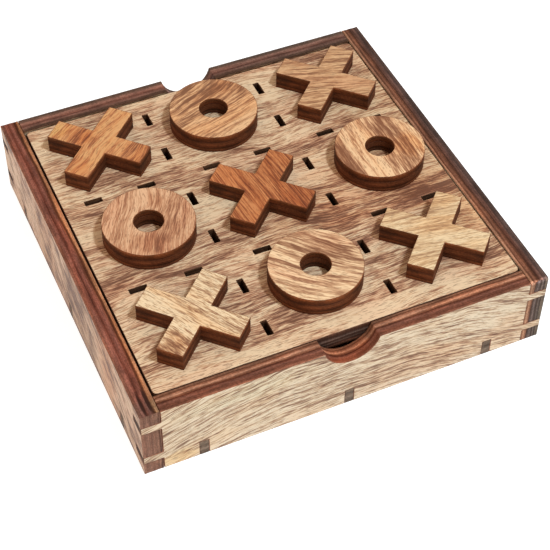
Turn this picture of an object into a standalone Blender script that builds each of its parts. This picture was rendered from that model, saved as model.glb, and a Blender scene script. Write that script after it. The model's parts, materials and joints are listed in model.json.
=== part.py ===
"""Tic tac toe set: a square plywood box whose lid is the playing board.

Every piece is cut from one thickness of sheet, so each is a flat outline with straight sides.
The frame is in metres, +Z up, with the origin at the middle of the underside. The front wall
faces -Y and the left wall faces -X.
"""

from math import asin, cos, pi, radians, sin

import bpy
from mathutils import Matrix, Vector

# Driving dimensions
BOX_SIDE = 0.140
BOX_HEIGHT = 0.0285
SHEET = 0.0064
GAP = 0.0003

# Corner joints: two thin fingers of the front and back walls pass through the side walls
FINGER_HEIGHT = 0.0029
FINGER_INSET = 0.0068

# Tabs of the base, whose ends show in the lower edges of the walls
TAB_WIDTH = 0.0028
TAB_FROM_CORNER = 0.0200

# Thumb notches in the front and back walls, to lift the board out
NOTCH_RADIUS = 0.0097
NOTCH_CENTRE_ABOVE_RIM = 0.0021
NOTCH_STEPS = 20

# Playing board, which lies a little to the right and to the front in its clearance
BOARD_CLEARANCE = 0.0005
BOARD_SHIFT = (0.0002, -0.0001)
BOARD_RECESS = 0.0003
BOARD_CORNER_RADIUS = 0.0016
BOARD_CORNER_STEPS = 4
CELL_PITCH = 0.0430
MARK_LENGTH = 0.0060
MARK_WIDTH = 0.0020
MARK_OFFSET = 0.0095

# Blocks in the inner corners, which the board rests on
REST_LENGTH = 0.0160

# Playing pieces
CROSS_SPAN = 0.0350
CROSS_BAR = 0.0089
RING_DIAMETER = 0.0310
RING_HOLE = 0.0100
RING_STEPS = 64
HOLE_STEPS = 40

# Where each piece stands: column, row, then how far it was put off its cell's centre and turned
PIECES = {
    "x_piece_back_left": (-1, 1, 0.0003, -0.0014, -0.3),
    "o_piece_back_middle": (0, 1, -0.0001, -0.0010, 0.0),
    "x_piece_back_right": (1, 1, 0.0003, -0.0017, 0.0),
    "o_piece_middle_left": (-1, 0, 0.0025, -0.0007, 0.0),
    "x_piece_centre": (0, 0, 0.0000, -0.0005, -0.5),
    "o_piece_middle_right": (1, 0, 0.0017, 0.0012, 0.0),
    "x_piece_front_left": (-1, -1, 0.0011, 0.0004, -0.3),
    "o_piece_front_middle": (0, -1, 0.0013, 0.0032, 0.0),
    "x_piece_front_right": (1, -1, 0.0002, 0.0014, 1.5),
}

# Worked out from the dimensions above
HALF_SIDE = BOX_SIDE / 2
INNER_HALF = HALF_SIDE - SHEET
WALL_CENTRE = HALF_SIDE - SHEET / 2
FINGER_HEIGHTS = (FINGER_INSET, BOX_HEIGHT - FINGER_INSET)
TAB_PLACES = (TAB_FROM_CORNER - HALF_SIDE, 0.0, HALF_SIDE - TAB_FROM_CORNER)
BOARD_HALF = INNER_HALF - BOARD_CLEARANCE
BOARD_TOP = BOX_HEIGHT - BOARD_RECESS
REST_BOTTOM = SHEET + GAP
REST_HEIGHT = BOARD_TOP - SHEET - GAP - REST_BOTTOM

# Colour, roughness
WOODS = {
    "base_ply": ((0.45, 0.30, 0.17), 0.65),
    "wall_ply": ((0.62, 0.46, 0.30), 0.60),
    "rest_ply": ((0.40, 0.25, 0.14), 0.65),
    "board_ply": ((0.66, 0.47, 0.30), 0.55),
    "x_piece_ply": ((0.62, 0.40, 0.22), 0.55),
    "o_piece_ply": ((0.58, 0.40, 0.25), 0.55),
}

FLAT = Matrix.Identity(4)
FACING_FRONT = Matrix.Rotation(pi / 2, 4, "X")
FACING_SIDE = Matrix.Rotation(pi / 2, 4, "Z") @ FACING_FRONT


def clear_scene():
    """Remove every object, so that the file's default cube, lamp and camera aren't kept."""
    for obj in list(bpy.data.objects):
        bpy.data.objects.remove(obj, do_unlink=True)


def wood(name):
    """A plain wooden material with the colour and roughness of the named slot."""
    colour, roughness = WOODS[name]
    material = bpy.data.materials.new(name)
    material.use_nodes = True
    shader = material.node_tree.nodes["Principled BSDF"]
    shader.inputs["Base Color"].default_value = (*colour, 1.0)
    shader.inputs["Roughness"].default_value = roughness
    shader.inputs["Metallic"].default_value = 0.0
    material.diffuse_color = (*colour, 1.0)
    return material


def arc(centre, radius, start, end, steps):
    """Points along a circular arc, from one angle to another, both ends included."""
    angles = [start + (end - start) * i / steps for i in range(steps + 1)]
    return [(centre[0] + radius * cos(a), centre[1] + radius * sin(a)) for a in angles]


def circle(radius, steps):
    """A closed circle round the origin."""
    return arc((0.0, 0.0), radius, 0.0, 2 * pi, steps)[:-1]


def rectangle(centre_x, centre_y, width, height):
    """A closed rectangle, anticlockwise from its lowest left corner."""
    x0, x1 = centre_x - width / 2, centre_x + width / 2
    y0, y1 = centre_y - height / 2, centre_y + height / 2
    return [(x0, y0), (x1, y0), (x1, y1), (x0, y1)]


def turned(outline, quarter):
    """The outline turned by a number of quarter turns about the origin."""
    for _ in range(quarter):
        outline = [(-y, x) for x, y in outline]
    return outline


def tab_slots():
    """Points along a wall's lower edge, with a slot over each tab of the base."""
    half = TAB_WIDTH / 2 + GAP
    top = SHEET + GAP
    points = []
    for place in TAB_PLACES:
        first, last = place - half, place + half
        points += [(first, 0.0), (first, top), (last, top), (last, 0.0)]
    return points


def side_wall_outline():
    """A side wall seen from its face: full depth, with slots for the fingers at both ends."""
    slot_half = FINGER_HEIGHT / 2 + GAP
    slot_bottom = HALF_SIDE - SHEET - GAP
    right_end = []
    for height in FINGER_HEIGHTS:
        low, high = height - slot_half, height + slot_half
        right_end += [(HALF_SIDE, low), (slot_bottom, low), (slot_bottom, high), (HALF_SIDE, high)]
    left_end = [(-x, y) for x, y in reversed(right_end)]
    foot = [(-HALF_SIDE, 0.0), *tab_slots(), (HALF_SIDE, 0.0)]
    rim = [(HALF_SIDE, BOX_HEIGHT), (-HALF_SIDE, BOX_HEIGHT)]
    return foot + right_end + rim + left_end


def end_wall_outline():
    """The front or back wall: it fits between the side walls, with fingers and a thumb notch."""
    end = INNER_HALF - GAP
    right_end = []
    for height in FINGER_HEIGHTS:
        low, high = height - FINGER_HEIGHT / 2, height + FINGER_HEIGHT / 2
        right_end += [(end, low), (HALF_SIDE, low), (HALF_SIDE, high), (end, high)]
    left_end = [(-x, y) for x, y in reversed(right_end)]
    foot = [(-end, 0.0), *tab_slots(), (end, 0.0)]
    centre = (0.0, BOX_HEIGHT + NOTCH_CENTRE_ABOVE_RIM)
    dip = asin(NOTCH_CENTRE_ABOVE_RIM / NOTCH_RADIUS)
    notch = arc(centre, NOTCH_RADIUS, -dip, dip - pi, NOTCH_STEPS)
    rim = [(end, BOX_HEIGHT), *notch, (-end, BOX_HEIGHT)]
    return foot + right_end + rim + left_end


def base_outline():
    """The base fills the inside of the walls, with three tabs through each of them."""
    edge = INNER_HALF - GAP
    half = TAB_WIDTH / 2
    side = [(-edge, -edge)]
    for place in TAB_PLACES:
        first, last = place - half, place + half
        side += [(first, -edge), (first, -HALF_SIDE), (last, -HALF_SIDE), (last, -edge)]
    return [point for quarter in range(4) for point in turned(side, quarter)]


def board_outlines():
    """The board's rounded square, and the short slots that mark the cells' corners."""
    inner = BOARD_HALF - BOARD_CORNER_RADIUS
    corner = arc((inner, inner), BOARD_CORNER_RADIUS, 0.0, pi / 2, BOARD_CORNER_STEPS)
    edge = [point for quarter in range(4) for point in turned(corner, quarter)]
    marks = []
    for line in (-CELL_PITCH / 2, CELL_PITCH / 2):
        for cell in (-CELL_PITCH, 0.0, CELL_PITCH):
            for along in (cell - MARK_OFFSET, cell + MARK_OFFSET):
                marks.append(rectangle(line, along, MARK_WIDTH, MARK_LENGTH))
                marks.append(rectangle(along, line, MARK_LENGTH, MARK_WIDTH))
    return [edge, *marks]


def cross_outline():
    """Two bars of equal length that cross at right angles, along X and Y."""
    tip, half = CROSS_SPAN / 2, CROSS_BAR / 2
    arm = [(tip, -half), (tip, half), (half, half)]
    return [point for quarter in range(4) for point in turned(arm, quarter)]


def cut_from_sheet(name, outlines, material, collection, thickness=SHEET):
    """A flat piece in its own XY plane: the first outline is its edge and the rest are holes."""
    curve = bpy.data.curves.new(name, "CURVE")
    curve.dimensions = "2D"
    curve.fill_mode = "BOTH"
    curve.extrude = thickness / 2
    for outline in outlines:
        spline = curve.splines.new("POLY")
        spline.points.add(len(outline) - 1)
        for point, (x, y) in zip(spline.points, outline):
            point.co = (x, y, 0.0, 1.0)
        spline.use_cyclic_u = True
    curve.materials.append(material)
    obj = bpy.data.objects.new(name, curve)
    collection.objects.link(obj)
    return obj


def place(obj, location, facing=FLAT):
    """Turn a flat piece into its plane and move it there."""
    obj.matrix_world = Matrix.Translation(Vector(location)) @ facing


def make_box(collection, woods):
    """The base and the four walls round it."""
    base = cut_from_sheet("base_panel", [base_outline()], woods["base_ply"], collection)
    place(base, (0.0, 0.0, SHEET / 2))
    for name, side in (("left_wall", -1), ("right_wall", 1)):
        wall = cut_from_sheet(name, [side_wall_outline()], woods["wall_ply"], collection)
        place(wall, (side * WALL_CENTRE, 0.0, 0.0), FACING_SIDE)
    for name, side in (("front_wall", -1), ("back_wall", 1)):
        wall = cut_from_sheet(name, [end_wall_outline()], woods["wall_ply"], collection)
        place(wall, (0.0, side * WALL_CENTRE, 0.0), FACING_FRONT)


def make_board_rests(collection, woods):
    """A block on the base in each inner corner, flat against the side wall."""
    x = INNER_HALF - GAP - SHEET / 2
    y = INNER_HALF - GAP - REST_LENGTH / 2
    outline = rectangle(0.0, REST_HEIGHT / 2, REST_LENGTH, REST_HEIGHT)
    for row, side_y in (("front", -1), ("back", 1)):
        for column, side_x in (("left", -1), ("right", 1)):
            name = f"board_rest_{row}_{column}"
            rest = cut_from_sheet(name, [outline], woods["rest_ply"], collection)
            place(rest, (side_x * x, side_y * y, REST_BOTTOM), FACING_SIDE)


def make_board(collection, woods):
    """The playing board, which lies on the rests a little below the rim."""
    board = cut_from_sheet("board_panel", board_outlines(), woods["board_ply"], collection)
    place(board, (*BOARD_SHIFT, BOARD_TOP - SHEET / 2))


def make_pieces(collection, woods):
    """The crosses and rings, each standing in its cell of the board."""
    height = BOARD_TOP + GAP + SHEET / 2
    ring = [circle(RING_DIAMETER / 2, RING_STEPS), circle(RING_HOLE / 2, HOLE_STEPS)]
    for name, (column, row, off_x, off_y, twist) in PIECES.items():
        if name.startswith("x_"):
            piece = cut_from_sheet(name, [cross_outline()], woods["x_piece_ply"], collection)
            angle = pi / 4 + radians(twist)
        else:
            piece = cut_from_sheet(name, ring, woods["o_piece_ply"], collection)
            angle = 0.0
        spot = (column * CELL_PITCH + off_x, row * CELL_PITCH + off_y, height)
        place(piece, spot, Matrix.Rotation(angle, 4, "Z"))


def main():
    clear_scene()
    collection = bpy.data.collections.new("tic_tac_toe_set")
    bpy.context.scene.collection.children.link(collection)
    woods = {name: wood(name) for name in WOODS}
    make_box(collection, woods)
    make_board_rests(collection, woods)
    make_board(collection, woods)
    make_pieces(collection, woods)


main()
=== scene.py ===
"""Tic tac toe set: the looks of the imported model.

Every node of the set is cut from plywood sheet, so each is replaced by the same outline cut again
in finer detail: soft arrises, glue lines and scorched cut edges, with veneer grain on its faces.
"""

import json
from math import cos, pi, radians, sin, tan

import bmesh
import bpy
from mathutils import Matrix, Vector
from mathutils.geometry import tessellate_polygon


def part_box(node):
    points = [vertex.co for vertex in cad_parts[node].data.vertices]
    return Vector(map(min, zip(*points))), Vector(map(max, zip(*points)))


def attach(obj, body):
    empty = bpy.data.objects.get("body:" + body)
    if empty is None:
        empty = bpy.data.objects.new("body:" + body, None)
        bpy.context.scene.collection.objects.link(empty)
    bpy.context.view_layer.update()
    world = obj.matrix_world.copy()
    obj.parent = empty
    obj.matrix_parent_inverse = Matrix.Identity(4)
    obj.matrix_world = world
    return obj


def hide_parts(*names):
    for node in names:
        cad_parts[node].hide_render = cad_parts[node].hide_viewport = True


MM = 0.001

# Camera: what it looks at, from where, and how long its lens is
CAMERA_AIM = (0.0006, -0.0102, 0.0)
CAMERA_DISTANCE = 0.5090
CAMERA_AZIMUTH = -24.5
CAMERA_ELEVATION = 47.85
CAMERA_ROLL = 0.65
CAMERA_LENS = 96.0

# Cut edges, in metres: rounding in plan, of a worn corner and of the arris, then the scorched rim
# and the eroded plies, whose borders lie at these shares of the thickness
PLAN_ROUND = 0.00018
WORN_ROUND = 0.0011
ARRIS = 0.00014
SCORCH_WIDTH = 0.0007
GLUE_LINE = 0.00007
GLUE_DEPTH = 0.00006
PLY_DEPTH = 0.00004
PLY_EDGES = (0.14, 0.38, 0.62, 0.86)

# How many steps round an arc takes, and the turn from which a corner of an outline gets one
ROUND_STEPS = 3
WORN_STEPS = 9
CORNER_TURN = radians(25)

# The turn from which shading is sharp, the cosine above which a face looks the same way as its
# sheet, and how close, in metres, two points of the CAD or of a new piece lie to be one point
SHARP_TURN = radians(35)
SAME_WAY = 0.99
SHARED_POINT = 1e-6
WELD = 1e-7

# How far each part of the box reaches into the gaps of its joints
JOINT_FILL = 0.00013

# Playing pieces reach down to this height above the board
CONTACT = 0.00002

# Studio: each light's azimuth and elevation in degrees, distance, size, watts and colour
KEY_LIGHT = (34.0, 63.0, 1.2, 0.11, 8.6, (0.82, 1.02, 1.19))
FILL_LIGHT = (-40.0, 22.0, 1.5, 1.2, 5.2, (1.0, 0.865, 0.745))
SKY_COLOUR = (1.0, 0.83, 0.68, 1.0)
SKY_STRENGTH = 0.60
FLOOR_REACH = 3.0
FLOOR_GREY = (0.50, 0.50, 0.50, 1.0)
FLOOR_GLOW = 0.82

# Materials: how far apart two seeds lie in a noise, how ragged the rim of a stain or of a patch of
# painted light is, where such a patch fades out in reaches, and where the plies start below the
# outer face with their ripple, in mm
SEED_STEP = (7.3, 3.1, 5.7)
RAGGED = 1.6
PATCH_FADE = (1.3, 2.1)
PLY_START = 0.6
PLY_RIPPLE = 1.2

# A scar's half width as a share of the thickness, how dark open pores are, the depth of the bumps
# of a face and of a cut edge, and the colour that leaves another as it is
SCAR_WIDTH = 0.11
PORE_STRENGTH = 0.50
FACE_RELIEF = 0.06 * MM
EDGE_RELIEF = 0.07 * MM
NO_TINT = (1.0, 1.0, 1.0)


class Shader:
    """A material's node tree, with short calls that add a node and link its inputs."""

    def __init__(self, name):
        self.material = bpy.data.materials.new(name)
        self.material.use_nodes = True
        self.tree = self.material.node_tree
        self.surface = self.tree.nodes["Principled BSDF"]

    def feed(self, socket, value):
        """Link a socket to another one, or set its value."""
        if isinstance(value, bpy.types.NodeSocket):
            self.tree.links.new(value, socket)
        else:
            socket.default_value = value

    def add(self, kind, inputs=None, **settings):
        """A new node with these inputs and settings."""
        node = self.tree.nodes.new(kind)
        for key, value in settings.items():
            setattr(node, key, value)
        for key, value in (inputs or {}).items():
            self.feed(node.inputs[key], value)
        return node

    def math(self, operation, *values):
        inputs = dict(enumerate(values))
        return self.add("ShaderNodeMath", inputs, operation=operation).outputs[0]

    def vector(self, operation, *values):
        inputs = dict(enumerate(values))
        return self.add("ShaderNodeVectorMath", inputs, operation=operation).outputs[0]

    def length(self, vector):
        return self.add("ShaderNodeVectorMath", {0: vector}, operation="LENGTH").outputs[1]

    def grey(self, value):
        """A colour whose three channels are the same value."""
        return self.add("ShaderNodeCombineXYZ", {0: value, 1: value, 2: value}).outputs[0]

    def noise(self, place, stretch, seed=0.0, detail=2.0, roughness=0.5):
        """Noise from 0 to 1 whose cells measure about one over stretch along each axis."""
        stretched = self.vector("MULTIPLY", place, stretch)
        moved = self.vector("ADD", stretched, tuple(seed * step for step in SEED_STEP))
        inputs = {"Vector": moved, "Scale": 1.0, "Detail": detail, "Roughness": roughness}
        return self.add("ShaderNodeTexNoise", inputs).outputs[0]

    def fade(self, value, low, high, start=0.0, end=1.0):
        """The value's climb from low to high, mapped smoothly onto start to end."""
        inputs = {"Value": value, "From Min": low, "From Max": high, "To Min": start, "To Max": end}
        node = self.add("ShaderNodeMapRange", inputs, interpolation_type="SMOOTHSTEP")
        return node.outputs[0]

    def mix(self, factor, first, second, blend="MIX"):
        inputs = {"Factor": factor, 6: first, 7: second}
        node = self.add("ShaderNodeMix", None, data_type="RGBA", blend_type=blend)
        for key, value in inputs.items():
            self.feed(node.inputs[key], value)
        return node.outputs[2]

    def ramp(self, factor, stops):
        """Colours along a factor from 0 to 1, from a list of position and colour."""
        node = self.add("ShaderNodeValToRGB", {0: factor})
        band = node.color_ramp
        band.elements[0].position, band.elements[0].color = stops[0]
        band.elements[1].position, band.elements[1].color = stops[-1]
        for position, shade in stops[1:-1]:
            band.elements.new(position).color = shade
        return node.outputs[0]

    def finish(self, tone, specular, rough, height, relief):
        """The material, with its colour, gloss and bumps linked to the surface."""
        bump = self.add("ShaderNodeBump", {"Height": height, "Distance": relief, "Strength": 1.0})
        surface = {
            "Base Color": tone,
            "Specular IOR Level": specular,
            "Roughness": rough,
            "Normal": bump.outputs[0],
        }
        for key, value in surface.items():
            self.feed(self.surface.inputs[key], value)
        return self.material


def grain_place(shader, sheet, angle):
    """A point's place on the sheet in millimetres: along the grain, across it and through it."""
    turn = sheet.facing @ Matrix.Rotation(radians(angle), 3, "Z")
    inputs = {
        "Vector": shader.add("ShaderNodeTexCoord").outputs["Object"],
        "Location": sheet.centre,
        "Rotation": turn.to_euler("XYZ"),
        "Scale": (MM, MM, MM),
    }
    return shader.add("ShaderNodeMapping", inputs, vector_type="TEXTURE").outputs[0]


def wander(shader, place, look):
    """The place moved across the grain, so that straight streaks in it wander on the sheet."""
    seed = look["seed"]
    wave, ripple = look.get("wave", 1.0), look.get("ripple", 1.0)
    parts = shader.add("ShaderNodeSeparateXYZ", {0: place}).outputs

    # Bends per millimetre along, across and through the grain, and their swing in millimetres
    swings = (
        ((0.020, 0.030, 0.1), 14.0 * wave),
        ((0.060, 0.070, 0.1), 2.6 * ripple),
        ((0.22, 0.22, 0.1), 0.45 * ripple),
    )
    across = parts[1]
    for number, (stretch, swing) in enumerate(swings):
        bend = shader.math("SUBTRACT", shader.noise(place, stretch, seed + number, 1.0), 0.5)
        across = shader.math("MULTIPLY_ADD", bend, swing, across)
    if "arch" in look:
        squared = shader.math("MULTIPLY", parts[0], parts[0])
        across = shader.math("MULTIPLY_ADD", squared, look["arch"], across)
    return shader.add("ShaderNodeCombineXYZ", {0: parts[0], 1: across, 2: parts[2]}).outputs[0]


def darkness(shader, woven, look):
    """How dark the wood is: bands across the grain, then blotches, rings, streaks and dashes."""
    seed = look["seed"]
    bands = look["bands"]
    first, last = bands[0][0], bands[-1][0]
    across = shader.add("ShaderNodeSeparateXYZ", {0: woven}).outputs[1]
    share = shader.math("DIVIDE", shader.math("SUBTRACT", across, first), last - first)
    stops = [((at - first) / (last - first), (dark, dark, dark, 1.0)) for at, dark in bands]
    dark = shader.ramp(share, stops)

    # Marks per millimetre along, across and through the grain, the noise's range, and a strength
    broken, fine = look.get("broken", 1.0), look.get("fine", 1.0)
    layers = (
        (look.get("blotch_size", (0.030, 0.060, 0.1)), 0.30, 0.70, look.get("blotch", 0.30)),
        ((0.014, 0.34 * fine, 0.1), 0.34, 0.66, look.get("rings", 0.30)),
        ((0.070 * broken, 0.95 * fine, 0.1), 0.34, 0.66, look.get("streaks", 0.55)),
        ((0.17 * broken, 2.60 * fine, 0.1), 0.36, 0.64, look.get("dashes", 0.50)),
        ((0.55, 6.0, 0.1), 0.35, 0.65, 0.22),
    )
    for number, (stretch, low, high, strength) in enumerate(layers):
        layer = shader.noise(woven, stretch, seed + 3.0 + number, 2.0, 0.55)
        layer = shader.fade(layer, low, high, -strength / 2, strength / 2)
        dark = shader.math("ADD", dark, layer)
    return dark


def patches(shader, sheet, stains_and_painted_light, ragged):
    """Where each stain or patch of painted light lies, from its centre and its reach on the sheet
    in mm, with a ragged rim.
    """
    place = grain_place(shader, sheet, 0.0)
    factors = []
    for x, y, reach_x, reach_y, *_ in stains_and_painted_light:
        offset = shader.vector("SUBTRACT", place, (x, y, 0.0))
        offset = shader.vector("MULTIPLY", offset, (1 / reach_x, 1 / reach_y, 0.0))
        reach = shader.math("MULTIPLY_ADD", ragged, RAGGED, shader.length(offset))
        factors.append(shader.fade(reach, *PATCH_FADE, 1.0, 0.0))
    return factors


def tinted(stops, tint):
    """A ramp's stops with every colour multiplied by a tint."""
    return [(at, (*(a * b for a, b in zip(shade, tint)), 1.0)) for at, shade in stops]


def veneer(sheet, name, look):
    """Sliced veneer: growth bands, broken streaks, patches, open pores and a scorched rim."""
    shader = Shader(f"{name}_veneer")
    place = grain_place(shader, sheet, look["grain"])
    seed = look["seed"]
    woven = wander(shader, place, look)
    dark = darkness(shader, woven, look)
    # Stains darken the wood here, and so do the bands of painted shade on the back and left walls
    stains_and_painted_light = look.get("stains_and_painted_light", ())
    ragged = shader.noise(woven, (0.06, 0.40, 0.1), seed + 11.0, 3.0)
    factors = patches(shader, sheet, stains_and_painted_light, ragged)
    for factor, (*_, darker, _) in zip(factors, stains_and_painted_light):
        dark = shader.math("MULTIPLY_ADD", factor, darker, dark)
    tones = tinted(look["tones"], look.get("tint", NO_TINT))
    tone = shader.ramp(dark, tones)

    # Warmer patches, then the tints of the sheet's own stains and of its painted shade
    warmth = shader.noise(woven, (0.035, 0.12, 0.1), seed + 10.0, 2.0)
    factor = shader.fade(warmth, 0.46, 0.66, 0.0, look.get("warm", 0.45))
    tone = shader.mix(factor, tone, (*look["accent"], 1.0), "MULTIPLY")
    for factor, (*_, shade) in zip(factors, stains_and_painted_light):
        tone = shader.mix(factor, tone, (*shade, 1.0), "MULTIPLY")

    # Open pores, short and narrow
    pores = shader.noise(woven, (0.42, 3.2, 0.1), seed + 12.0, 1.0)
    pore = shader.fade(pores, 0.57, 0.68)
    factor = shader.math("MULTIPLY", pore, PORE_STRENGTH)
    tone = shader.mix(factor, tone, (*tones[-1][1][:3], 1.0))

    # A scorched rim along each cut
    rim = shader.add("ShaderNodeAttribute", attribute_name="scorch").outputs["Fac"]
    flare = shader.noise(place, (0.9, 0.9, 0.9), seed + 13.0, 2.0)
    rim = shader.math("MULTIPLY_ADD", flare, 0.9, rim)
    factor = shader.fade(rim, 1.05, 1.75, 0.0, 0.55)
    tone = shader.mix(factor, tone, SCORCH)

    rough = shader.math("MULTIPLY_ADD", pores, 0.25, 0.42)
    height = shader.math("MULTIPLY_ADD", pore, -1.0, shader.math("MULTIPLY", dark, -0.6))
    return shader.finish(tone, 0.3, rough, height, FACE_RELIEF)


def cut_edge(sheet, name, look):
    """A laser-cut edge: plies and glue lines in charred browns, with fine marks of the cut."""
    shader = Shader(f"{name}_{look['kind']}")
    place = grain_place(shader, sheet, 0.0)
    seed = look["seed"]
    parts = shader.add("ShaderNodeSeparateXYZ", {0: place}).outputs
    ripple = shader.noise(place, (0.07, 0.07, 0.3), seed, 2.0)
    depth = shader.math("SUBTRACT", sheet.thickness / MM / 2, parts[2])
    depth = shader.math("MULTIPLY_ADD", ripple, PLY_RIPPLE, depth)
    depth = shader.math("DIVIDE", shader.math("SUBTRACT", depth, PLY_START), sheet.thickness / MM)
    tone = shader.ramp(depth, tinted(look["plies"], look.get("tint", NO_TINT)))

    # Long fibres of each ply, marks of the beam, and soot that comes and goes along the edge
    fibres = shader.noise(place, (0.08, 0.08, 3.2), seed + 1.0, 3.0, 0.6)
    bright = shader.fade(fibres, 0.30, 0.70, 0.74, 1.26)
    marks = shader.noise(place, (2.2, 2.2, 0.10), seed + 2.0, 2.0)
    rough_marks = look.get("marks", 0.06)
    marked = shader.fade(marks, 0.30, 0.70, 1.0 - rough_marks, 1.0 + rough_marks)
    bright = shader.math("MULTIPLY", bright, marked)
    soot = shader.noise(place, (0.11, 0.11, 0.35), seed + 3.0, 3.0)
    bright = shader.math("MULTIPLY", bright, shader.fade(soot, 0.35, 0.65, 1.15, look["soot"]))
    flecks = shader.noise(place, (1.3, 1.3, 3.0), seed + 4.0, 2.0)
    bright = shader.math("MULTIPLY", bright, shader.fade(flecks, 0.36, 0.64, 0.80, 1.20))
    tone = shader.vector("MULTIPLY", tone, shader.grey(bright))
    glow = shader.noise(place, (0.045, 0.045, 0.6), seed + 5.0, 2.0)
    factor = shader.fade(glow, 0.48, 0.72, 0.0, 0.55)
    tone = shader.mix(factor, tone, (*look["glow"], 1.0), "MULTIPLY")
    # Stains, and a pale chip mark with a painted highlight at the right wall's worn corner
    stains_and_painted_light = look.get("stains_and_painted_light", ())
    for factor, (*_, shade) in zip(patches(shader, sheet, stains_and_painted_light, soot), stains_and_painted_light):
        tone = shader.mix(factor, tone, (*shade, 1.0), "MULTIPLY")

    # Burnt scars along the plies: middle along the edge, reach along it, share of the thickness
    for middle, reach, share in look.get("scars", ()):
        along = shader.math("DIVIDE", shader.math("SUBTRACT", parts[0], middle), reach)
        across = shader.math("DIVIDE", shader.math("SUBTRACT", depth, share), SCAR_WIDTH)
        offset = shader.add("ShaderNodeCombineXYZ", {0: along, 1: across}).outputs[0]
        offset = shader.math("MULTIPLY_ADD", soot, 0.6, shader.length(offset))
        factor = shader.fade(offset, 0.8, 1.4, 0.9, 0.0)
        tone = shader.mix(factor, tone, SCAR)

    rough = shader.math("MULTIPLY_ADD", fibres, 0.30, 0.50)
    height = shader.math("MULTIPLY_ADD", marks, 0.6, fibres)
    return shader.finish(tone, 0.12, rough, height, EDGE_RELIEF)


class Sheet:
    """A node's plane: its centre, the axes along its outer face, and its outlines there."""

    def __init__(self, node, fill):
        low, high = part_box(node)
        size = high - low
        self.centre = (low + high) / 2
        thin = min(range(3), key=lambda axis: size[axis])
        self.thickness = size[thin]
        self.reach = max(size) / 2
        outward = Vector((0.0, 0.0, 0.0))
        outward[thin] = 1.0 if thin == 2 or self.centre[thin] > 0 else -1.0
        upward = Vector((0.0, 1.0, 0.0)) if thin == 2 else Vector((0.0, 0.0, 1.0))
        self.facing = Matrix((upward.cross(outward), upward, outward)).transposed()
        self.half = [abs(value) / 2 for value in self.facing.transposed() @ size]
        self.outlines = [self.widen(line, fill) for line in self.read_outlines(frame["nodes"][node])]

    def flat(self, point):
        """A point of the model in the sheet's own axes."""
        return self.facing.transposed() @ (point - self.centre)

    def widen(self, outline, fill):
        """The outline moved outwards by a distance, but not past the sheet's own box."""
        widened = []
        for point in inset(outline, -fill):
            kept = [max(-half, min(half, value)) for value, half in zip(point, self.half)]
            widened.append(Vector(kept))
        return widened

    def read_outlines(self, node):
        """The closed outlines of the outer face, each with the material on its left."""
        solid = bmesh.new()
        solid.from_mesh(node.data)
        bmesh.ops.remove_doubles(solid, verts=solid.verts, dist=SHARED_POINT)
        outward = self.facing.col[2]
        face_up = [face for face in solid.faces if face.normal.dot(outward) > SAME_WAY]
        inside = set(face_up)

        # Each point of a rim leads to the next one, so following them closes every outline
        following = {}
        for face in face_up:
            for corner in face.loops:
                if sum(other in inside for other in corner.edge.link_faces) == 1:
                    following[corner.vert] = corner.link_loop_next.vert
        outlines = []
        while following:
            vert = next(iter(following))
            outline = []
            while vert in following:
                outline.append(self.flat(vert.co).xy)
                vert = following.pop(vert)
            outlines.append(outline)
        solid.free()
        return outlines


def neighbours(outline):
    """Each point of a closed outline with the ones before and after it."""
    return zip(outline[-1:] + outline[:-1], outline, outline[1:] + outline[:1])


def inset(outline, distance):
    """The outline moved into the material by a distance."""
    moved = []
    for before, point, after in neighbours(outline):
        arriving, leaving = (point - before).normalized(), (after - point).normalized()
        inward = Vector((-arriving.y - leaving.y, arriving.x + leaving.x))
        inward /= 1 + arriving.dot(leaving)
        moved.append(point + inward * distance)
    return moved


def soft_outline(outline, setback, worn=None):
    """The outline set in, with an arc in place of each sharp corner and a wide one where worn."""
    worn_at = max(range(len(outline)), key=lambda i: outline[i].dot(worn)) if worn else None
    points = []
    for i, (before, point, after) in enumerate(neighbours(inset(outline, setback))):
        back, ahead = before - point, after - point
        turn = pi - back.angle(ahead)
        if turn < CORNER_TURN:
            points.append(point)
            continue
        radius, steps = (WORN_ROUND, WORN_STEPS) if i == worn_at else (PLAN_ROUND, ROUND_STEPS)
        radius += setback if back.cross(ahead) > 0 else -setback
        reach = min(max(radius, 0.0) * tan(turn / 2), 0.4 * back.length, 0.4 * ahead.length)
        start, end = point + back.normalized() * reach, point + ahead.normalized() * reach
        for step in range(steps + 1):
            share = step / steps
            points.append(
                start * (1 - share) ** 2 + point * (2 * share * (1 - share)) + end * share**2
            )
    return points


def edge_profile(thickness):
    """How far the cut edge is set in at each depth below the outer face."""
    profile = []
    for step in range(ROUND_STEPS + 1):
        angle = pi / 2 * step / ROUND_STEPS
        profile.append((ARRIS * (1 - sin(angle)), ARRIS * (1 - cos(angle))))
    for number, share in enumerate(PLY_EDGES):
        depth = share * thickness
        above, below = (0.0, PLY_DEPTH) if number % 2 == 0 else (PLY_DEPTH, 0.0)
        profile.append((above, depth - GLUE_LINE))
        profile.append((above + GLUE_DEPTH, depth - GLUE_LINE / 2))
        profile.append((below + GLUE_DEPTH, depth + GLUE_LINE / 2))
        profile.append((below, depth + GLUE_LINE))
    for step in range(ROUND_STEPS + 1):
        angle = pi / 2 * (1 - step / ROUND_STEPS)
        profile.append((ARRIS * (1 - sin(angle)), thickness - ARRIS * (1 - cos(angle))))
    return profile


def is_end(sheet, face):
    """Whether a cut face is at an end of the sheet's longest side."""
    middle = sheet.flat(face.calc_center_median())
    return max(abs(middle.x), abs(middle.y)) > sheet.reach - 2 * ARRIS


def apart(line):
    """The points of a closed line without those that the next one coincides with."""
    return [vert for vert, after in zip(line, line[1:] + line[:1]) if (vert.co - after.co).length > WELD]


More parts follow.
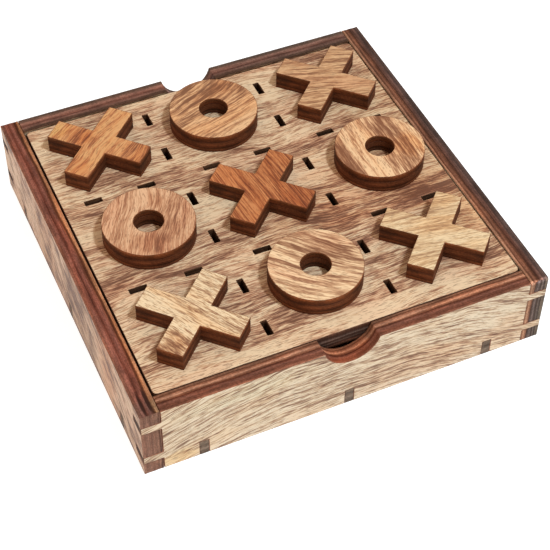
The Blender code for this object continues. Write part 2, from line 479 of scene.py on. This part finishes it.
def draw_row(shape, sheet, setback, depth, worn):
    """The sheet's outlines at one depth of the cut, as closed lines of new points."""
    scorch = shape.verts.layers.float["scorch"]
    row = []
    for outline in sheet.outlines:
        line = []
        for point in soft_outline(outline, setback, worn):
            local = Vector((point.x, point.y, sheet.thickness / 2 - depth))
            vert = shape.verts.new(sheet.centre + sheet.facing @ local)
            vert[scorch] = 0.0 if setback == SCORCH_WIDTH else 1.0
            line.append(vert)
        row.append(line)
    return row


def join_rows(shape, sheet, upper, lower, is_cut, has_ends):
    """The faces between two rows: a flat rim, or a smooth stretch of the cut edge."""
    for top, bottom in zip(upper, lower):
        for i, (a, b) in enumerate(zip(top, top[1:] + top[:1])):
            c, d = bottom[(i + 1) % len(top)], bottom[i]
            face = shape.faces.new((b, a, d, c))
            face.smooth = is_cut
            if is_cut:
                face.material_index = 2 if has_ends and is_end(sheet, face) else 1


def close_row(shape, sheet, row):
    """The flat face inside a row, as even triangles."""
    lines = [apart(line) for line in row]
    verts = [vert for line in lines for vert in line]
    loops = [[sheet.flat(vert.co) for vert in line] for line in lines]
    cap = [shape.faces.new([verts[i] for i in triple]) for triple in tessellate_polygon(loops)]
    capped = set(cap)
    # A dict keeps the order of its edges, so that the same triangles come out each run
    seams = dict.fromkeys(edge for face in cap for edge in face.edges if len(edge.link_faces) == 2)
    inner = [edge for edge in seams if capped.issuperset(edge.link_faces)]
    bmesh.ops.beautify_fill(shape, faces=cap, edges=inner, method="ANGLE")


def recut(node, sheet, extra_depth=0.0):
    """The node's piece cut again from its outlines, as a mesh with faces and cut edges."""
    thickness = sheet.thickness + extra_depth
    stations = [(SCORCH_WIDTH, 0.0), *edge_profile(thickness), (SCORCH_WIDTH, thickness)]
    shape = bmesh.new()
    shape.verts.layers.float.new("scorch")
    worn = WORN_CORNERS.get(node)
    rows = [draw_row(shape, sheet, setback, depth, worn) for setback, depth in stations]
    for upper, lower in zip(rows, rows[1:]):
        is_cut = upper is not rows[0] and lower is not rows[-1]
        join_rows(shape, sheet, upper, lower, is_cut, node in EDGE_LOOKS)
    for row in (rows[0], rows[-1]):
        close_row(shape, sheet, row)
    bmesh.ops.remove_doubles(shape, verts=shape.verts, dist=WELD)
    bmesh.ops.recalc_face_normals(shape, faces=shape.faces)
    mesh = bpy.data.meshes.new(node)
    shape.to_mesh(mesh)
    shape.free()
    mesh.set_sharp_from_angle(angle=SHARP_TURN)
    piece = bpy.data.objects.new(f"{node}_look", mesh)
    bpy.context.scene.collection.objects.link(piece)
    return piece


# The corner of its outline that each worn sheet has lost, as a direction on its outer face
WORN_CORNERS = {"right_wall": Vector((-1.0, 1.0))}

# Ply stripes from the outer face inwards: share of the thickness, linear colour
LEFT_PLIES = [
    (0.00, (0.27, 0.108, 0.066)),
    (0.09, (0.200, 0.070, 0.042)),
    (0.23, (0.270, 0.092, 0.060)),
    (0.35, (0.210, 0.064, 0.040)),
    (0.42, (0.120, 0.030, 0.017)),
    (0.50, (0.190, 0.058, 0.036)),
    (0.61, (0.265, 0.090, 0.060)),
    (0.70, (0.180, 0.054, 0.028)),
    (0.755, (0.070, 0.017, 0.006)),
    (0.82, (0.140, 0.044, 0.018)),
    (0.875, (0.48, 0.200, 0.088)),
    (1.00, (0.40, 0.165, 0.080)),
]
RIGHT_PLIES = [
    (0.00, (0.080, 0.052, 0.044)),
    (0.12, (0.095, 0.056, 0.045)),
    (0.22, (0.062, 0.034, 0.027)),
    (0.34, (0.135, 0.066, 0.049)),
    (0.46, (0.110, 0.045, 0.029)),
    (0.54, (0.060, 0.022, 0.012)),
    (0.63, (0.190, 0.070, 0.036)),
    (0.73, (0.230, 0.090, 0.050)),
    (0.82, (0.100, 0.032, 0.014)),
    (0.90, (0.42, 0.20, 0.115)),
    (1.00, (0.28, 0.120, 0.065)),
]
FRONT_PLIES = [
    (0.00, (0.240, 0.092, 0.052)),
    (0.15, (0.170, 0.055, 0.030)),
    (0.25, (0.160, 0.053, 0.030)),
    (0.36, (0.230, 0.085, 0.052)),
    (0.48, (0.085, 0.021, 0.010)),
    (0.56, (0.22, 0.080, 0.040)),
    (0.66, (0.50, 0.235, 0.140)),
    (0.76, (0.28, 0.105, 0.055)),
    (0.84, (0.110, 0.037, 0.017)),
    (0.91, (0.240, 0.105, 0.058)),
    (1.00, (0.120, 0.047, 0.024)),
]
BACK_PLIES = [
    (0.00, (0.120, 0.070, 0.050)),
    (0.20, (0.135, 0.068, 0.045)),
    (0.38, (0.300, 0.135, 0.093)),
    (0.48, (0.220, 0.090, 0.060)),
    (0.58, (0.125, 0.043, 0.027)),
    (0.72, (0.210, 0.095, 0.066)),
    (0.84, (0.110, 0.052, 0.032)),
    (1.00, (0.085, 0.036, 0.020)),
]
LEFT_END_PLIES = [
    (0.00, (0.24, 0.125, 0.088)),
    (0.20, (0.19, 0.092, 0.064)),
    (0.36, (0.25, 0.130, 0.092)),
    (0.50, (0.15, 0.068, 0.045)),
    (0.58, (0.23, 0.118, 0.083)),
    (0.72, (0.16, 0.078, 0.052)),
    (0.86, (0.25, 0.130, 0.090)),
    (0.93, (0.07, 0.028, 0.016)),
    (1.00, (0.22, 0.110, 0.075)),
]
RIGHT_END_PLIES = [
    (0.00, (0.115, 0.095, 0.075)),
    (0.14, (0.125, 0.105, 0.085)),
    (0.22, (0.035, 0.024, 0.018)),
    (0.33, (0.120, 0.100, 0.092)),
    (0.42, (0.035, 0.022, 0.016)),
    (0.56, (0.130, 0.105, 0.100)),
    (0.70, (0.045, 0.024, 0.016)),
    (0.78, (0.21, 0.100, 0.062)),
    (0.88, (0.33, 0.205, 0.135)),
    (1.00, (0.23, 0.120, 0.075)),
]
TAB_PLIES = [
    (0.00, (0.160, 0.112, 0.078)),
    (0.40, (0.115, 0.076, 0.052)),
    (0.60, (0.175, 0.125, 0.090)),
    (1.00, (0.120, 0.080, 0.055)),
]
CHAR_PLIES = [
    (0.00, (0.060, 0.026, 0.014)),
    (0.50, (0.030, 0.012, 0.006)),
    (1.00, (0.045, 0.018, 0.010)),
]
BOARD_PLIES = [
    (0.00, (0.090, 0.038, 0.022)),
    (0.24, (0.048, 0.019, 0.011)),
    (0.36, (0.080, 0.046, 0.034)),
    (0.43, (0.140, 0.090, 0.068)),
    (0.50, (0.040, 0.018, 0.012)),
    (0.58, (0.055, 0.026, 0.018)),
    (0.66, (0.125, 0.078, 0.058)),
    (0.74, (0.035, 0.015, 0.010)),
    (0.86, (0.085, 0.036, 0.021)),
    (1.00, (0.045, 0.019, 0.011)),
]
PIECE_PLIES = [
    (0.00, (0.185, 0.060, 0.024)),
    (0.14, (0.120, 0.036, 0.013)),
    (0.28, (0.085, 0.022, 0.007)),
    (0.36, (0.050, 0.012, 0.004)),
    (0.46, (0.090, 0.026, 0.010)),
    (0.60, (0.115, 0.034, 0.014)),
    (0.72, (0.085, 0.022, 0.008)),
    (0.79, (0.045, 0.011, 0.003)),
    (0.88, (0.110, 0.032, 0.011)),
    (1.00, (0.080, 0.021, 0.008)),
]
WARM_GLOW = (1.25, 0.95, 0.75)
GREY_GLOW = (0.90, 1.00, 1.02)
MAUVE_GLOW = (1.0, 0.95, 0.92)
CHAR_TINT = (1.70, 1.80, 1.70)

# Each node's cut edges, and its ends where they look different. plies are the stripes and tint
# colours all of them, soot is how dark the sooty stretches are, glow tints some others, and marks
# is the strength of the beam's marks. A stain, or a spot of painted highlight, is its middle and
# reach in mm and a tint. A scar is its middle and reach along the edge in mm, and its share of
# the thickness.
PIECE_EDGE = {
    "kind": "edge", "plies": PIECE_PLIES, "soot": 0.60, "glow": (1.2, 1.0, 0.9), "seed": 7.0,
    "tint": (1.12, 1.15, 1.06),
}
CHARRED_END = {
    "kind": "end", "plies": CHAR_PLIES, "soot": 0.60, "glow": MAUVE_GLOW, "seed": 9.0,
    "tint": CHAR_TINT,
}
EDGE_LOOKS = {
    "left_wall": (
        {
            "kind": "edge", "plies": LEFT_PLIES, "soot": 0.70, "glow": WARM_GLOW, "seed": 3.0,
            "scars": [(65.0, 5.5, 0.34), (64.5, 6.5, 0.70)],
            "stains_and_painted_light": [(68.0, 14.0, 4.5, 4.0, (0.72, 0.90, 1.00))],
        },
        {
            "kind": "end", "plies": LEFT_END_PLIES, "soot": 0.85, "glow": MAUVE_GLOW, "seed": 5.0,
            "tint": (0.88, 0.87, 0.83),
        },
    ),
    "right_wall": (
        {
            "kind": "edge", "plies": RIGHT_PLIES, "soot": 0.75, "glow": WARM_GLOW, "seed": 13.0,
            # A pale spot at the worn corner: a chip mark with a painted highlight on it
            "stains_and_painted_light": [(-69.8, 14.0, 0.7, 0.7, (2.4, 2.6, 2.8))],
        },
        {
            "kind": "end", "plies": RIGHT_END_PLIES, "soot": 0.80, "glow": GREY_GLOW, "seed": 15.0,
            "tint": (1.08, 0.94, 0.85),
            # A pale spot at the worn corner: a chip mark with a painted highlight on it
            "stains_and_painted_light": [(-69.5, 13.8, 0.8, 0.8, (2.2, 2.2, 2.4))],
        },
    ),
    "front_wall": (
        {
            "kind": "edge", "plies": FRONT_PLIES, "soot": 0.75, "glow": WARM_GLOW, "seed": 17.0,
            "stains_and_painted_light": [(0.0, 8.0, 8.0, 4.0, (1.25, 1.00, 0.85))],
        },
        CHARRED_END,
    ),
    "back_wall": (
        {
            "kind": "edge", "plies": BACK_PLIES, "soot": 0.75, "glow": MAUVE_GLOW, "seed": 19.0,
            "stains_and_painted_light": [(-42.0, 14.0, 30.0, 4.0, (0.80, 0.90, 0.95))],
        },
        CHARRED_END,
    ),
    "base_panel": (
        PIECE_EDGE,
        {"kind": "end", "plies": TAB_PLIES, "soot": 0.75, "glow": GREY_GLOW, "seed": 21.0},
    ),
    "board_panel": (
        {
            "kind": "edge", "plies": CHAR_PLIES, "soot": 0.60, "glow": WARM_GLOW, "seed": 29.0,
            "tint": CHAR_TINT,
        },
        {
            "kind": "end", "plies": BOARD_PLIES, "soot": 0.80, "glow": GREY_GLOW, "seed": 25.0,
            "marks": 0.20,
        },
    ),
}

# Veneer tones by darkness, linear: from the palest wood to the darkest
BOARD_TONES = [
    (0.10, (0.74, 0.56, 0.365)),
    (0.35, (0.59, 0.385, 0.228)),
    (0.55, (0.46, 0.250, 0.145)),
    (0.80, (0.29, 0.14, 0.08)),
    (1.00, (0.17, 0.075, 0.042)),
]
WALL_TONES = [
    (0.10, (0.72, 0.575, 0.42)),
    (0.35, (0.58, 0.42, 0.275)),
    (0.60, (0.43, 0.27, 0.165)),
    (0.85, (0.29, 0.155, 0.09)),
    (1.00, (0.18, 0.09, 0.05)),
]
LEFT_TONES = [
    (0.10, (0.74, 0.52, 0.38)),
    (0.35, (0.60, 0.385, 0.27)),
    (0.60, (0.46, 0.275, 0.185)),
    (0.85, (0.31, 0.170, 0.108)),
    (1.00, (0.20, 0.100, 0.062)),
]
HONEY_TONES = [
    (0.05, (0.66, 0.38, 0.165)),
    (0.35, (0.58, 0.275, 0.11)),
    (0.65, (0.42, 0.175, 0.072)),
    (1.00, (0.22, 0.080, 0.034)),
]
TAN_TONES = [
    (0.05, (0.66, 0.40, 0.225)),
    (0.35, (0.52, 0.275, 0.142)),
    (0.65, (0.36, 0.170, 0.086)),
    (1.00, (0.19, 0.080, 0.040)),
]
PINK_TONES = [
    (0.05, (0.66, 0.40, 0.25)),
    (0.35, (0.52, 0.275, 0.16)),
    (0.65, (0.38, 0.170, 0.092)),
    (1.00, (0.20, 0.080, 0.043)),
]
RUST_TONES = [
    (0.05, (0.54, 0.235, 0.105)),
    (0.35, (0.42, 0.155, 0.062)),
    (0.65, (0.31, 0.098, 0.038)),
    (1.00, (0.16, 0.044, 0.018)),
]
STRAW_TONES = [
    (0.05, (0.78, 0.565, 0.345)),
    (0.35, (0.63, 0.405, 0.222)),
    (0.65, (0.44, 0.245, 0.128)),
    (1.00, (0.24, 0.110, 0.056)),
]
CREAM_TONES = [
    (0.05, (0.80, 0.555, 0.345)),
    (0.30, (0.66, 0.40, 0.235)),
    (0.60, (0.42, 0.215, 0.118)),
    (1.00, (0.22, 0.090, 0.045)),
]
ORANGE = (1.0, 0.78, 0.58)
ROSE = (0.98, 0.80, 0.76)
SCORCH = (0.13, 0.055, 0.028, 1.0)
SCAR = (0.030, 0.010, 0.006, 1.0)

# The looks of the faces. On each sheet, grain is the angle of the grain in degrees, and bands holds
# places across the grain in mm with the darkness there. blotch, rings, streaks, dashes and warm are
# strengths, and blotch_size is blotches per mm. wave and ripple say how far the grain wanders, and
# arch how far it bends. broken and fine shorten and narrow the streaks. accent tints the warmer
# patches. A stain, or a band of painted shade, is its middle and reach in mm, how much darker it
# is, and a tint.
BOARD_LOOK = {
    "grain": 0.0,
    "seed": 11.0,
    "bands": [
        (-66, 0.10), (-58, 0.13), (-53, 0.54), (-46, 0.50), (-38, 0.30), (-30, 0.44), (-25, 0.36),
        (-19, 0.70), (-14, 0.50), (-8, 0.18), (-2, 0.32), (5, 0.12), (12, 0.26), (17, 0.56),
        (23, 0.56), (28, 0.27), (34, 0.22), (42, 0.36), (50, 0.25), (57, 0.28), (66, 0.46),
    ],
    "tones": BOARD_TONES,
    "tint": (1.05, 1.00, 0.96),
    "accent": ROSE,
    "wave": 0.8,
    "broken": 1.25,
    "blotch": 0.56,
    "blotch_size": (0.045, 0.10, 0.1),
    "rings": 0.26,
    "streaks": 0.48,
    "dashes": 0.62,
    "stains_and_painted_light": [
        (60.0, 10.0, 22.0, 70.0, 0.06, (0.95, 0.91, 0.86)),
        (36.0, -7.0, 28.0, 20.0, 0.13, (0.98, 0.87, 0.80)),
        (10.0, -18.0, 20.0, 12.0, 0.08, (0.98, 0.92, 0.86)),
        (62.0, -34.0, 16.0, 10.0, -0.14, (1.02, 0.92, 0.82)),
        (0.0, 24.0, 26.0, 6.0, -0.14, NO_TINT),
    ],
}
WALL_LOOK = {
    "grain": 0.0,
    "seed": 23.0,
    "bands": [(-16, 0.35), (-9, 0.45), (-3, 0.30), (4, 0.35), (9, 0.30), (16, 0.35)],
    "tones": WALL_TONES,
    "tint": (0.89, 0.93, 0.92),
    "accent": ORANGE,
    "warm": 0.30,
    "wave": 0.4,
    "broken": 1.3,
    "fine": 1.2,
    "streaks": 0.80,
    "dashes": 0.72,
}
PIECE_BANDS = [(-18, 0.40), (-8, 0.50), (0, 0.35), (8, 0.45), (18, 0.40)]
FACE_LOOKS = {
    "board_panel": BOARD_LOOK,
    "front_wall": {
        **WALL_LOOK,
        "arch": 0.0028,
        "stains_and_painted_light": [
            (24.0, -7.0, 26.0, 7.0, 0.16, (0.99, 0.90, 0.84)),
            (60.0, -6.0, 10.0, 8.0, 0.06, (0.99, 0.90, 0.84)),
            (-58.0, -11.0, 7.0, 3.0, 0.00, (1.02, 0.94, 0.76)),
            (56.0, 3.5, 7.0, 5.0, -0.20, NO_TINT),
            (-35.0, 9.0, 24.0, 4.0, -0.12, (0.97, 1.00, 0.97)),
            (0.0, -13.0, 80.0, 3.2, -0.14, (1.03, 1.03, 1.05)),
        ],
    },
    "back_wall": {
        **WALL_LOOK,
        "seed": 27.0,
        # A dark band along the top of both faces: painted shade of the narrow gap where the board meets
        # the wall
        "stains_and_painted_light": [(0.0, 14.2, 120.0, 1.5, 0.30, (0.55, 0.42, 0.34))],
    },
    "left_wall": {
        **WALL_LOOK,
        "seed": 31.0,
        "grain": -28.0,
        "tones": LEFT_TONES,
        "tint": (0.80, 0.79, 0.73),
        "accent": ROSE,
        "blotch": 1.00,
        "blotch_size": (0.11, 0.12, 0.1),
        "fine": 0.65,
        "streaks": 0.88,
        "dashes": 0.86,
        "stains_and_painted_light": [
            (12.0, 0.0, 17.0, 40.0, 0.26, (0.80, 0.76, 0.72)),
            (-24.0, 0.0, 11.0, 40.0, 0.14, (0.92, 0.82, 0.74)),
            (38.0, 0.0, 8.0, 40.0, 0.05, (0.98, 0.84, 0.74)),
            (-50.0, 0.0, 14.0, 40.0, -0.12, (1.04, 1.04, 1.04)),
            # Darker along the bottom of both faces: painted contact shade where the wall stands on the
            # floor
            (0.0, -14.3, 120.0, 1.9, 0.20, (0.72, 0.66, 0.62)),
        ],
    },
    "right_wall": {**WALL_LOOK, "seed": 37.0},
    "x_piece_back_left": {
        "grain": 40.0,
        "seed": 41.0,
        "tones": HONEY_TONES,
        "tint": (1.04, 0.93, 0.88),
        "accent": ORANGE,
        "warm": 0.60,
        "streaks": 0.66,
        "bands": [(-18, 0.45), (-9, 0.50), (-3, 0.30), (3, 0.25), (8, 0.50), (14, 0.25), (18, 0.2)],
        "stains_and_painted_light": [
            (-5.0, 5.5, 4.5, 4.5, 0.25, (0.94, 0.82, 0.74)),
            (-10.5, -10.0, 5.0, 5.0, 0.18, (0.96, 0.88, 0.84)),
            (-12.0, 12.0, 4.0, 4.0, -0.15, (1.00, 1.06, 0.96)),
        ],
    },
    "o_piece_back_middle": {
        "grain": 22.0,
        "seed": 43.0,
        "tones": TAN_TONES,
        "tint": (1.17, 1.15, 1.06),
        "accent": ORANGE,
        "streaks": 0.80,
        "bands": [(-18, 0.20), (-10, 0.25), (-3, 0.35), (4, 0.32), (9, 0.48), (18, 0.55)],
        "stains_and_painted_light": [(9.0, 9.0, 6.0, 5.0, 0.15, (0.94, 0.88, 0.84))],
    },
    "x_piece_back_right": {
        "grain": -12.0,
        "seed": 47.0,
        "tones": TAN_TONES,
        "tint": (1.02, 1.02, 0.95),
        "accent": ROSE,
        "broken": 1.4,
        "streaks": 0.62,
        "bands": [(-18, 0.38), (-5, 0.34), (5, 0.40), (18, 0.34)],
    },
    "o_piece_middle_left": {
        "grain": 62.0,
        "seed": 53.0,
        "tones": PINK_TONES,
        "tint": (1.13, 1.11, 1.02),
        "accent": ROSE,
        "broken": 1.2,
        "ripple": 1.6,
        "streaks": 0.30,
        "dashes": 0.46,
        "stains_and_painted_light": [
            (-3.8, -9.2, 5.8, 5.6, 0.26, (0.94, 0.87, 0.83)),
            (5.4, 8.3, 3.2, 4.4, 0.22, (0.94, 0.87, 0.83)),
        ],
        "bands": [
            (-18, 0.30), (-8, 0.48), (-4, 0.66), (-2, 0.26), (6, 0.30), (12, 0.44), (18, 0.40),
        ],
    },
    "x_piece_centre": {
        "grain": 97.0,
        "seed": 59.0,
        "tones": RUST_TONES,
        "tint": (1.05, 0.92, 0.74),
        "accent": ORANGE,
        "fine": 1.45,
        "wave": 0.3,
        "ripple": 0.35,
        "broken": 0.7,
        "streaks": 0.85,
        "bands": [(-18, 0.45), (-9, 0.35), (0, 0.40), (9, 0.35), (18, 0.50)],
        "stains_and_painted_light": [
            (10.5, -10.5, 6.5, 6.5, 0.20, (0.97, 0.90, 0.86)),
            (-10.0, 9.0, 6.0, 6.0, -0.10, (1.02, 0.96, 0.92)),
        ],
    },
    "o_piece_middle_right": {
        "grain": 90.0,
        "seed": 61.0,
        "tones": CREAM_TONES,
        "tint": (1.04, 0.97, 0.87),
        "accent": ORANGE,
        "fine": 0.75,
        "wave": 0.12,
        "ripple": 0.5,
        "streaks": 0.56,
        "stains_and_painted_light": [(9.5, -3.0, 5.0, 6.0, 0.12, (1.00, 0.84, 0.68))],
        "bands": [
            (-18, 0.35), (-12, 0.20), (-9, 0.60), (-6, 0.68), (-2, 0.35), (3, 0.12), (8, 0.15),
            (11, 0.58), (18, 0.78),
        ],
    },
    "x_piece_front_left": {
        "grain": -55.0,
        "seed": 67.0,
        "tones": STRAW_TONES,
        "tint": (1.08, 1.12, 1.15),
        "accent": ORANGE,
        "broken": 1.9,
        "streaks": 0.62,
        "dashes": 0.70,
        "bands": [(-18, 0.55), (-13, 0.50), (-10, 0.30), (0, 0.26), (6, 0.18), (18, 0.26)],
        "stains_and_painted_light": [(-11.5, -11.5, 5.5, 5.5, 0.30, (0.90, 0.76, 0.68))],
    },
    "o_piece_front_middle": {
        "grain": -42.0,
        "seed": 71.0,
        "tones": CREAM_TONES,
        "tint": (1.08, 1.10, 1.04),
        "accent": ROSE,
        "fine": 0.72,
        "wave": 0.5,
        "streaks": 0.70,
        "bands": [
            (-18, 0.10), (-12, 0.18), (-9, 0.46), (-6, 0.12), (-2, 0.46), (2, 0.24), (6, 0.46),
            (18, 0.50),
        ],
    },
    "x_piece_front_right": {
        "grain": -6.0,
        "seed": 73.0,
        "tones": STRAW_TONES,
        "tint": (1.02, 1.05, 1.03),
        "accent": ORANGE,
        "streaks": 0.40,
        "dashes": 0.40,
        "bands": [(-18, 0.38), (-8, 0.33), (0, 0.28), (8, 0.44), (18, 0.38)],
    },
}
HIDDEN_LOOK = {"grain": 0.0, "seed": 79.0, "tones": TAN_TONES, "accent": ROSE, "bands": PIECE_BANDS}


def dress(node):
    """Replace a node by its finely cut piece, in its own veneer and edge materials."""
    is_in_box = BODY_OF[node] == BODY_OF["base_panel"]
    sheet = Sheet(node, JOINT_FILL if is_in_box else 0.0)
    is_piece = node.startswith(("x_piece", "o_piece"))
    piece = recut(node, sheet, GAP_BELOW - CONTACT if is_piece else 0.0)
    piece.data.materials.append(veneer(sheet, node, FACE_LOOKS.get(node, HIDDEN_LOOK)))
    for look in EDGE_LOOKS.get(node, (PIECE_EDGE,)):
        piece.data.materials.append(cut_edge(sheet, node, look))
    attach(piece, BODY_OF[node])
    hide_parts(node)


def direction(azimuth, elevation):
    """The way to a place around the set. Azimuth 0 is in front of it, 90 on its right."""
    around, up = radians(azimuth), radians(elevation)
    return Vector((sin(around) * cos(up), -cos(around) * cos(up), sin(up)))


def add_floor():
    """A plain pale floor under the set."""
    mesh = bpy.data.meshes.new("floor")
    shape = bmesh.new()
    bmesh.ops.create_grid(shape, x_segments=1, y_segments=1, size=FLOOR_REACH)
    shape.to_mesh(mesh)
    shape.free()
    floor = bpy.data.objects.new("floor", mesh)
    bpy.context.scene.collection.objects.link(floor)
    shader = Shader("floor_paint")
    shader.feed(shader.surface.inputs["Base Color"], FLOOR_GREY)
    shader.feed(shader.surface.inputs["Roughness"], 0.6)
    shader.feed(shader.surface.inputs["Emission Color"], (1.0, 1.0, 1.0, 1.0))
    shader.feed(shader.surface.inputs["Emission Strength"], FLOOR_GLOW)
    mesh.materials.append(shader.material)


def add_light(name, azimuth, elevation, distance, size, power, colour):
    """A square soft box that faces the set."""
    lamp = bpy.data.lights.new(name, "AREA")
    lamp.shape = "SQUARE"
    lamp.size = size
    lamp.energy = power
    lamp.color = colour
    light = bpy.data.objects.new(name, lamp)
    bpy.context.scene.collection.objects.link(light)
    way = direction(azimuth, elevation)
    light.location = way * distance
    light.rotation_euler = way.to_track_quat("Z", "Y").to_euler()


def add_sky():
    """Even light from all round."""
    world = bpy.data.worlds.new("studio")
    bpy.context.scene.world = world
    world.use_nodes = True
    background = world.node_tree.nodes["Background"]
    background.inputs["Color"].default_value = SKY_COLOUR
    background.inputs["Strength"].default_value = SKY_STRENGTH


def add_camera():
    """The camera above the set's front left."""
    lens = bpy.data.cameras.new("camera")
    lens.lens = CAMERA_LENS
    lens.clip_start = 0.01
    camera = bpy.data.objects.new("camera", lens)
    bpy.context.scene.collection.objects.link(camera)
    way = direction(CAMERA_AZIMUTH, CAMERA_ELEVATION)
    camera.location = Vector(CAMERA_AIM) + way * CAMERA_DISTANCE
    turn = way.to_track_quat("Z", "Y").to_matrix() @ Matrix.Rotation(radians(CAMERA_ROLL), 3, "Z")
    camera.rotation_euler = turn.to_euler()
    bpy.context.scene.camera = camera


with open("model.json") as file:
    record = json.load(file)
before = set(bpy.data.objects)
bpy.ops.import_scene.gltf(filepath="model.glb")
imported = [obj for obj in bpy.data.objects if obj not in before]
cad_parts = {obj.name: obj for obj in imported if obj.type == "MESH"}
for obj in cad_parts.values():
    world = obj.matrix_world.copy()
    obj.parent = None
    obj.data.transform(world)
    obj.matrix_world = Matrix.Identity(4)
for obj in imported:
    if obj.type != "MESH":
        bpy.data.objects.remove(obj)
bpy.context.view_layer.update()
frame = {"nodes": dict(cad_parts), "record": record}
bodies = frame["record"]["behaviour"]["bodies"]
BODY_OF = {node: body for body, nodes in bodies.items() for node in nodes}
GAP_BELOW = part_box("x_piece_centre")[0].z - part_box("board_panel")[1].z
add_camera()
add_floor()
add_light("key", *KEY_LIGHT)
add_light("fill", *FILL_LIGHT)
add_sky()
for node_name in sorted(frame["nodes"]):
    dress(node_name)
bpy.context.scene.view_settings.view_transform = "Standard"
